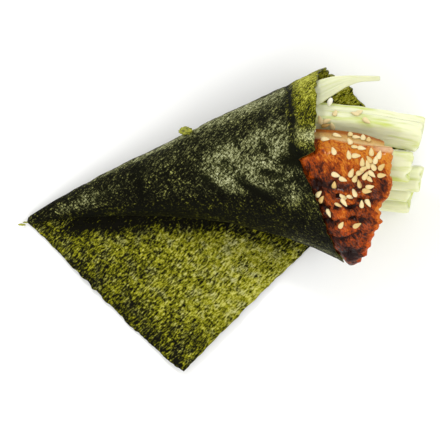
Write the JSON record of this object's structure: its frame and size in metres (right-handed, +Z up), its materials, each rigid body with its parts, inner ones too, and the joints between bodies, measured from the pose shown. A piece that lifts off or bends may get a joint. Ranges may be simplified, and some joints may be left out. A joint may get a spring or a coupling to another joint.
{
  "type": "temaki hand roll",
  "caption": "Cone of rolled nori on its side with a loose flat tail, filled with rice, glazed grilled eel, cucumber sticks and sesame seeds.",
  "frame": {"origin": "on the table under the middle of the whole roll", "axes": "+X from the cone's tip towards the open mouth side, +Y away from the loose tail, +Z up"},
  "size_m": [0.1326, 0.1006, 0.0448],
  "materials": {
    "nori": "dried seaweed, satin on the smooth outer side, rough and mossy on the inner side",
    "rice": "cooked rice, moist satin",
    "eel": "grilled eel under a glossy sauce glaze",
    "cucumber": "fresh cut cucumber, moist",
    "shred": "fresh cut cucumber heart, moist"
  },
  "bodies": {
    "root": {"nori_sheet": "nori", "rice_heap": "rice", "eel_slab": "eel", "cucumber_stick_1": "cucumber", "cucumber_stick_2": "cucumber", "cucumber_stick_3": "cucumber", "cucumber_stick_4": "cucumber", "cucumber_stick_5": "cucumber", "cucumber_shred": "shred"}
  },
  "joints": []
}
